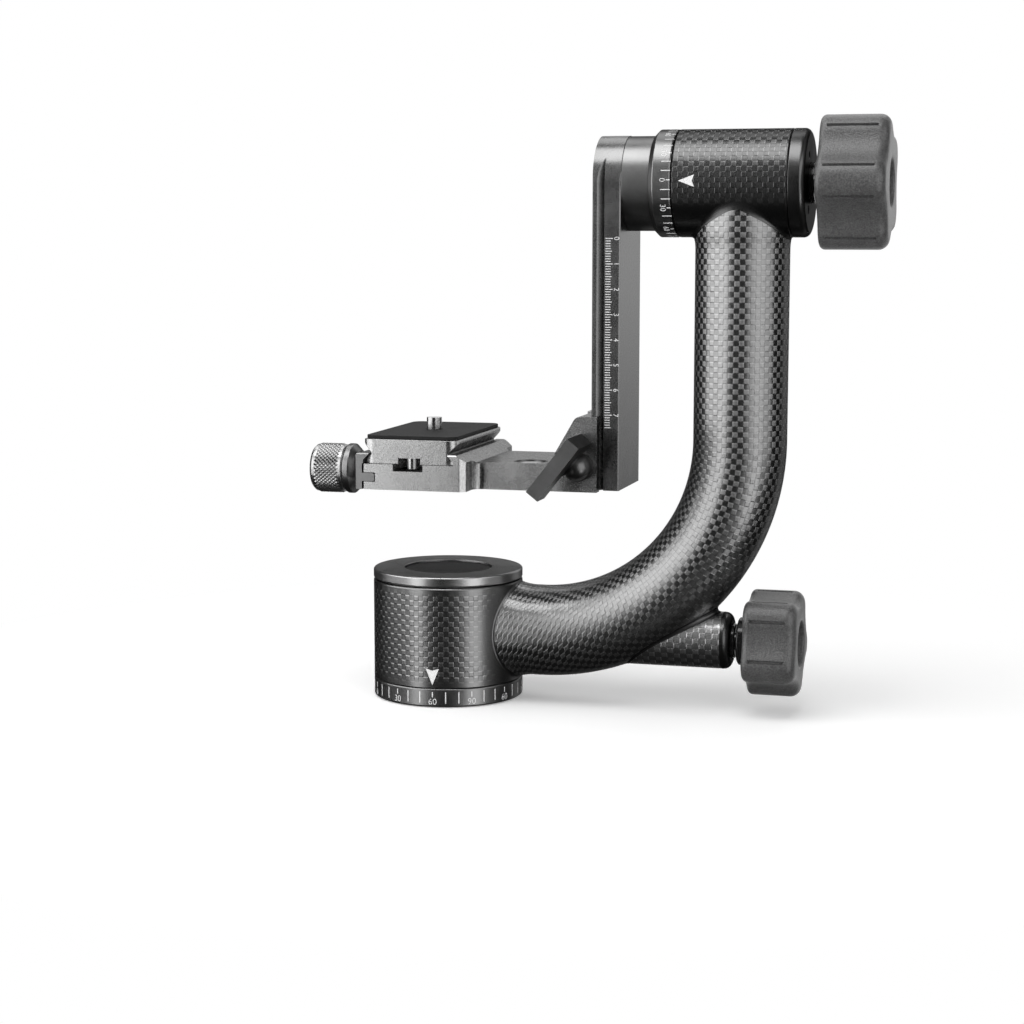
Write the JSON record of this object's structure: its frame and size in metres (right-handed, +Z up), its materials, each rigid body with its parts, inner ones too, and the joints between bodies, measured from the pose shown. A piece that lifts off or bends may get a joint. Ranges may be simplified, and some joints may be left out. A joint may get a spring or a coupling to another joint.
{
  "type": "gimbal tripod head",
  "caption": "Panning gimbal tripod head with a J-shaped carbon tube arm, tilt barrel, sliding rail platform, dovetail camera clamp and star lock knobs.",
  "frame": {"origin": "centre of the base's underside, at the mouth of the tripod thread", "axes": "+Z up along the pan axis, +X from the pan axis to the arm's upright, -Y the front with the lever"},
  "size_m": [0.2395, 0.0814, 0.2384],
  "materials": {
    "carbon": "woven carbon fibre under a satin clear coat",
    "anodised_black": "satin black anodised",
    "anodised_grey": "bead-blasted grey anodised",
    "bare_aluminium": "turned",
    "steel": "turned",
    "knob_rubber": "fine grained",
    "lever_plastic": "smooth satin",
    "pad_rubber": "matt",
    "bronze": "turned",
    "vial": "clear with tinted fluid"
  },
  "bodies": {
    "base": {"base_plate": "anodised_black", "tripod_insert": "steel", "pan_dial": "anodised_black", "pan_spindle": "bare_aluminium", "spindle_screws": "steel", "pan_inner_races": "steel", "pan_washer": "steel", "pan_nut": "steel"},
    "arm": {"pan_barrel": "carbon", "pan_housing": "bare_aluminium", "pan_outer_races": "steel", "pan_balls": "steel", "base_cap": "anodised_black", "cap_inlay": "pad_rubber", "arm_tube": "carbon", "arm_root_plug": "bare_aluminium", "arm_top_plug": "bare_aluminium", "lock_boss": "carbon", "lock_bushing": "anodised_black", "tilt_barrel": "carbon", "tilt_housing": "bare_aluminium", "tilt_outer_races": "steel", "tilt_balls": "steel", "tilt_end_cap": "anodised_black", "tilt_bushing": "steel"},
    "pan_brake": {"pan_brake_shoe": "bronze"},
    "pan_lock": {"pan_knob": "knob_rubber", "pan_knob_ring": "anodised_black", "pan_stud": "steel", "pan_knob_bolt": "steel"},
    "tilt_brake": {"tilt_brake_disc": "bronze"},
    "tilt_lock": {"tilt_knob": "knob_rubber", "tilt_knob_ring": "anodised_black", "tilt_stud": "steel", "tilt_knob_bolt": "steel"},
    "swing": {"tilt_spindle": "bare_aluminium", "tilt_inner_races": "steel", "tilt_washer": "steel", "tilt_nut": "steel", "tilt_hub": "anodised_black", "tilt_dial": "anodised_black", "swing_rail": "anodised_black", "rail_screws": "steel"},
    "platform": {"platform": "anodised_grey", "level_cup": "anodised_black", "level_vial": "vial"},
    "rail_jaw": {"rail_jaw": "anodised_grey"},
    "lever": {"lock_lever": "lever_plastic", "lever_stud": "steel"},
    "jaw": {"clamp_jaw": "anodised_grey"},
    "clamp_knob": {"clamp_knob": "anodised_black", "clamp_collar": "anodised_black", "clamp_screw": "steel"},
    "plate": {"qr_plate": "anodised_grey", "qr_pad": "pad_rubber", "stop_screws": "steel"},
    "camera_screw": {"camera_screw": "steel"}
  },
  "joints": [
    {"name": "pan", "type": "hinge", "parent": "base", "child": "arm", "pos_m": [0, 0, 0], "axis": [0, 0, 1], "continuous": true},
    {"name": "tilt", "type": "hinge", "parent": "arm", "child": "swing", "pos_m": [0, 0, 0.21225], "axis": [1, 0, 0], "continuous": true},
    {"name": "pan_brake_slide", "type": "slide", "parent": "arm", "child": "pan_brake", "axis": [1, 0, 0], "range_m": [0, 0.00125]},
    {"name": "pan_lock_turn", "type": "hinge", "parent": "pan_brake", "child": "pan_lock", "pos_m": [0.13, 0, 0.02815], "axis": [1, 0, 0], "range_deg": [0, 360]},
    {"name": "tilt_brake_slide", "type": "slide", "parent": "arm", "child": "tilt_brake", "axis": [1, 0, 0], "range_m": [0, 0.00125]},
    {"name": "tilt_lock_turn", "type": "hinge", "parent": "tilt_brake", "child": "tilt_lock", "pos_m": [0.16, 0, 0.21225], "axis": [1, 0, 0], "range_deg": [0, 360]},
    {"name": "platform_slide", "type": "slide", "parent": "swing", "child": "platform", "axis": [0, 0, 1], "range_m": [0, 0.07]},
    {"name": "lever_turn", "type": "hinge", "parent": "platform", "child": "lever", "pos_m": [0.0624, -0.0234, 0.1001], "axis": [0, -1, 0], "range_deg": [0, 270]},
    {"name": "rail_jaw_slide", "type": "slide", "parent": "platform", "child": "rail_jaw", "axis": [0, 1, 0], "range_m": [0, 0.0006]},
    {"name": "jaw_slide", "type": "slide", "parent": "platform", "child": "jaw", "axis": [-1, 0, 0], "range_m": [0, 0.00375]},
    {"name": "clamp_knob_turn", "type": "hinge", "parent": "jaw", "child": "clamp_knob", "pos_m": [-0.05, 0, 0.0939], "axis": [-1, 0, 0], "range_deg": [0, 1080]},
    {"name": "plate_slide", "type": "slide", "parent": "platform", "child": "plate", "axis": [0, 1, 0], "range_m": [-0.009, 0.009]},
    {"name": "camera_screw_turn", "type": "hinge", "parent": "plate", "child": "camera_screw", "pos_m": [-0.0058, 0, 0.11], "axis": [0, 0, 1], "continuous": true}
  ],
  "couplings": [
    {"joint": "pan_lock_turn", "follows": "pan_brake_slide", "rad_per_m": 5026.5},
    {"joint": "tilt_lock_turn", "follows": "tilt_brake_slide", "rad_per_m": 5026.5},
    {"joint": "clamp_knob_turn", "follows": "jaw_slide", "rad_per_m": 5026.5},
    {"joint": "rail_jaw_slide", "follows": "lever_turn", "m_per_rad": 0.00012732}
  ]
}
